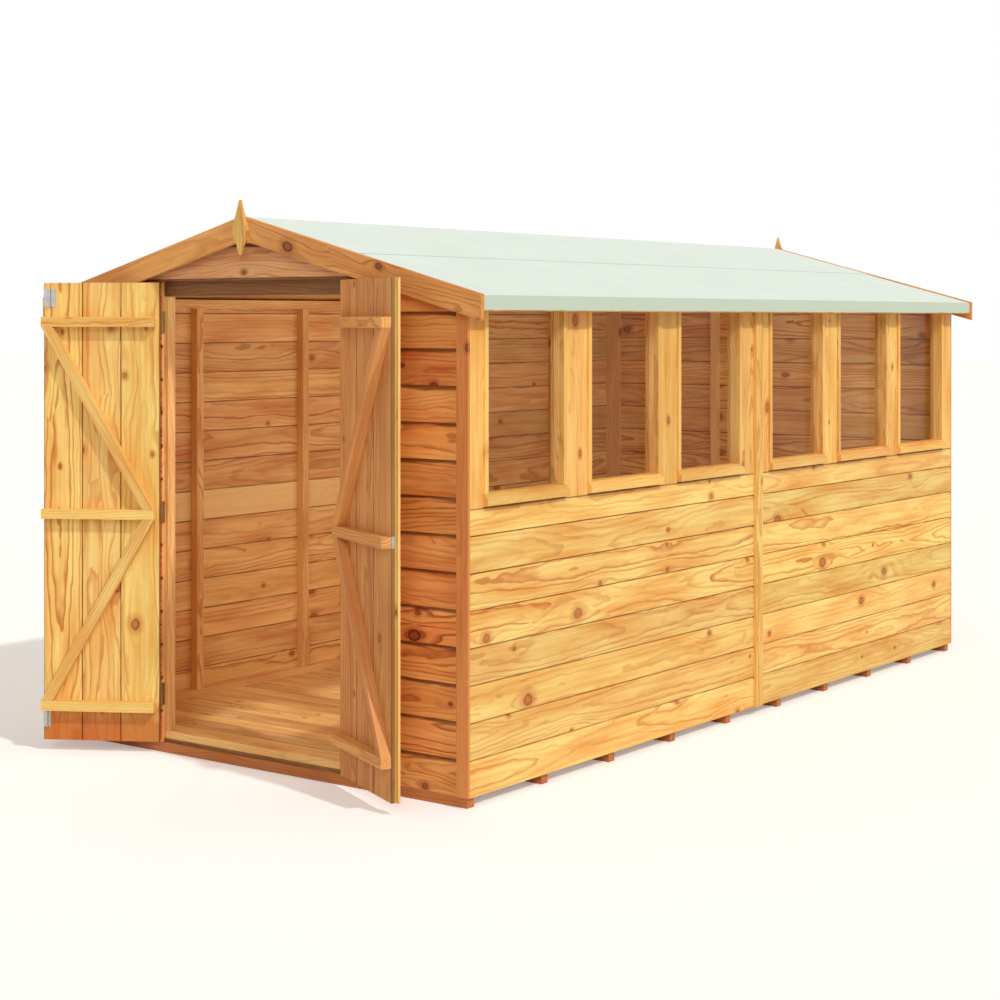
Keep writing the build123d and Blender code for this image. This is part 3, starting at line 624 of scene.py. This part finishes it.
# The front wall, gable, verge and corner timbers carry partly painted warm shade in their orange tones
front_wood = wood("orange_shiplap", AMBER, knots=0.5, ring=0.012, figure=0.9, seam=0.017, inner=INSIDE_SHADE,
                  cut_ends=True)
gable_wood = wood("gable_shiplap", GABLE, knots=0.5, ring=0.012, figure=0.7, seam=0.017, inner=INSIDE_SHADE)
trim_wood = wood("honey_trim", TRIM, knots=0.3, ring=0.010, figure=0.6)
verge_wood = wood("tan_trim", TAN, knots=0.12, ring=0.010, figure=0.7)
bearer_wood = wood("brown_bearer", BEARER, knots=0.3, ring=0.010, figure=0.7)
corner_wood = wood("amber_trim", CORNER, knots=0.45, ring=0.010, figure=0.7)
door_wood = wood("honey_door", HONEY, knots=0.85, figure=0.85, seam=0.0030, both_seams=True, foot_darkening=0.85,
                 bend=0.055)
ledge_wood = wood("honey_ledge", HONEY, knots=0.3, ring=0.010, figure=0.6)
# The right leaf's inner face and ledges get painted shade; its outer face stays honey
right_door_wood = wood("amber_door", HONEY, knots=0.45, seam=0.0030, both_seams=True, inner=SHADED,
                       inner_side=-0.003, bend=0.055)
right_ledge_wood = wood("amber_ledge", SHADED, knots=0.3, ring=0.010, figure=0.6)
# The framing and roof timbers inside take the inside's painted-shade tones
frame_wood = wood("sawn_frame", INSIDE_SHADE, knots=0.4, ring=0.010, figure=0.8)
floor_wood = wood("pale_floor", FLOOR, knots=0.35, seam=0.0025, both_seams=True)

# Walls
apex = Vector((0.0, 0.0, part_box("front_gable")[1].z))
slopes = [(apex, Vector((side * math.sin(ROOF_PITCH), 0.0, math.cos(ROOF_PITCH)))) for side in (1, -1)]
shiplap_wall("right_boards_front", "right_wall_front", EAST, side_wood, 11)
shiplap_wall("right_boards_back", "right_wall_back", EAST, side_wood, 12)
shiplap_wall("left_boards_front", "left_wall_front", WEST, side_wood, 13, pale=(6,))
shiplap_wall("left_boards_back", "left_wall_back", WEST, side_wood, 14)
shiplap_wall("front_boards_left", "front_wall_left", SOUTH, front_wood, 15, slopes[1:], FRONT_WAVE)
shiplap_wall("front_boards_right", "front_wall_right", SOUTH, front_wood, 16, slopes[:1], FRONT_WAVE)
shiplap_wall("gable_boards", "front_gable", SOUTH, gable_wood, 17, slopes, GABLE_WAVE)
shiplap_wall("back_boards", "back_wall", NORTH, side_wood, 18, slopes)

# Timber of the floor, frames, windows and roof
timber("floor_planks", ["floor_boards"], "root", floor_wood, 21, along=EAST,
       widths=FLOOR_BOARD)
timber("bearer_timbers", ["bearers"], "root", bearer_wood, 22, bevel=0.0015)
timber("corner_boards", ["corner_trims"], "root", corner_wood, 23)
timber("joint_strips", ["cover_strips"], "root", trim_wood, 24)
# Rails above 1.5 m, the door header among them, get painted shade
timber("front_frame", ["front_wall_studs", "front_wall_rails"], "root", frame_wood, 25,
       painted_shade_above=1.5)
timber("back_frame", ["back_wall_studs", "back_wall_rails"], "root", frame_wood, 26)
timber("left_frame", ["left_wall_studs", "left_wall_rails"], "root", frame_wood, 27)
timber("right_frame", ["right_wall_studs", "right_wall_rails"], "root", frame_wood, 28)
timber("window_post_boards", ["window_posts"], "root", trim_wood, 29)
timber("window_bead_strips", ["window_beads"], "root", trim_wood, 30, bevel=0.0018)
timber("window_sill_boards", ["window_sills"], "root", trim_wood, 31, along=NORTH,
       bevel=0.0018)
timber("window_head_boards", ["window_heads"], "root", trim_wood, 37, along=NORTH)
timber("roof_planks", ["roof_boards"], "root", frame_wood, 32, along=NORTH,
       widths=ROOF_BOARD)
timber("roof_battens_sawn", ["roof_battens"], "root", frame_wood, 33)
timber("roof_rafters_sawn", ["roof_rafters"], "root", frame_wood, 34)
timber("barge_boards", ["bargeboards"], "root", verge_wood, 35, bevel=0.002)
timber("finial_plates", ["finials"], "root", trim_wood, 36, along=UP, bevel=0.002)

# Doors
right_out = Matrix.Rotation(math.radians(RIGHT_OPEN), 3, "Z") @ SOUTH
left_out = Matrix.Rotation(math.radians(-LEFT_OPEN), 3, "Z") @ SOUTH
for side, boards, rails, seed, out in (("left", door_wood, ledge_wood, 40, left_out),
                                       ("right", right_door_wood, right_ledge_wood, 50, right_out)):
    body = f"{side}_door"
    timber(f"{side}_leaf_boards", [f"{body}_boards"], body, boards, seed, along=UP, widths=3,
           out=out)
    timber(f"{side}_leaf_ledges", [f"{body}_ledges"], body, rails, seed + 1, bevel=0.002)
    timber(f"{side}_leaf_braces", [f"{body}_braces"], body, rails, seed + 2, bevel=0.002)
timber("meeting_strip_board", ["right_door_meeting_strip"], "right_door", ledge_wood, 55,
       along=UP)


# Nodes that keep their CAD shape get their own finish
def dress(material, *nodes):
    """Gives CAD nodes a material."""
    for node in nodes:
        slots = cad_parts[node].data.materials
        slots.clear()
        slots.append(material)


dress(felt("mineral_felt"), "roof_felt_sides", "roof_felt_ridge")
dress(glass("clear_pane"), "window_glass")
dress(plated("zinc_plate", srgb(0.62, 0.63, 0.63), srgb(0.80, 0.80, 0.79)),
      "left_door_bolts", "right_door_keep")
dress(plated("brass_plate", srgb(0.50, 0.36, 0.18), srgb(0.66, 0.50, 0.27), 0.7),
      "frame_hinges", "left_door_hinges", "right_door_hinges")


# Studio: pale floor, soft key from the window side, even fill
def stage_floor():
    """A wide pale floor just below the bearers, which keeps the shadow."""
    mesh = bpy.data.meshes.new("studio_floor")
    signs = ((-1, -1), (1, -1), (1, 1), (-1, 1))
    mesh.from_pydata([(x * FLOOR_REACH, y * FLOOR_REACH, -FLOOR_DROP) for x, y in signs], [], [(0, 1, 2, 3)])
    floor = bpy.data.objects.new("studio_floor", mesh)
    bpy.context.scene.collection.objects.link(floor)
    t = Tree(bpy.data.materials.new("studio_floor"))
    diffuse = t.node("ShaderNodeBsdfDiffuse", Color=(0.86, 0.86, 0.86, 1.0))
    glow = t.node("ShaderNodeEmission", Color=WHITE)
    t.plug(glow, "Strength", t.math("MULTIPLY", t.seen(), 0.25))
    both = t.tree.nodes.new("ShaderNodeAddShader")
    t.plug(both, 0, diffuse.outputs[0])
    t.plug(both, 1, glow.outputs[0])
    mesh.materials.append(t.finish(both.outputs[0]))


def world_light():
    """Pale light, stronger from above, and white where the background shows."""
    world = bpy.data.worlds.new("studio")
    bpy.context.scene.world = world
    t = Tree(world)
    seen = t.seen()
    height = t.split(t.tree.nodes.new("ShaderNodeTexCoord").outputs["Generated"])[2]
    glow = t.math("MULTIPLY_ADD", t.math("MAXIMUM", height, 0.0), SKY_RISE, SKY_LEVEL)
    level = t.math("MULTIPLY_ADD", seen, t.math("SUBTRACT", 1.0, glow), glow)
    tint = t.mix(seen, WARM, WHITE)
    background = t.node("ShaderNodeBackground", Color=tint, Strength=level)
    t.finish(background.outputs[0], "ShaderNodeOutputWorld")


def sun(name, energy, spread, colour, towards):
    """A lamp far away in the direction that it lights from."""
    lamp = bpy.data.lights.new(name, "SUN")
    lamp.energy = energy
    lamp.angle = math.radians(spread)
    lamp.color = colour
    obj = bpy.data.objects.new(name, lamp)
    obj.rotation_euler = Vector(towards).to_track_quat("Z", "Y").to_euler()
    bpy.context.scene.collection.objects.link(obj)


def inside_light():
    """A wide soft lamp inside the window wall, so that the inside isn't black."""
    lamp = bpy.data.lights.new("inside", "AREA")
    lamp.shape = "RECTANGLE"
    lamp.size, lamp.size_y = INSIDE_SIZE
    lamp.energy = INSIDE_POWER
    obj = bpy.data.objects.new("inside", lamp)
    obj.location = INSIDE_PLACE
    obj.rotation_euler = Vector((1.0, 0.0, -0.1)).to_track_quat("Z", "Y").to_euler()
    obj.visible_camera = False
    bpy.context.scene.collection.objects.link(obj)


def camera():
    """The photograph's viewpoint."""
    data = bpy.data.cameras.new("camera")
    data.sensor_width = 36.0
    data.lens = LENS
    data.shift_x, data.shift_y = SHIFT
    data.clip_end = 200.0
    obj = bpy.data.objects.new("camera", data)
    obj.location = CAMERA_PLACE
    obj.rotation_euler = (math.radians(90.0), 0.0, math.radians(CAMERA_TURN))
    bpy.context.scene.collection.objects.link(obj)
    bpy.context.scene.camera = obj


stage_floor()
world_light()
sun("key", 1.65, 2.5, (1.0, 0.985, 0.955), (1.0, -0.17, 0.94))
sun("fill", 0.7, 25.0, (1.0, 0.97, 0.93), (0.46, -0.76, 0.46))
inside_light()
camera()
bpy.context.scene.view_settings.view_transform = "Standard"
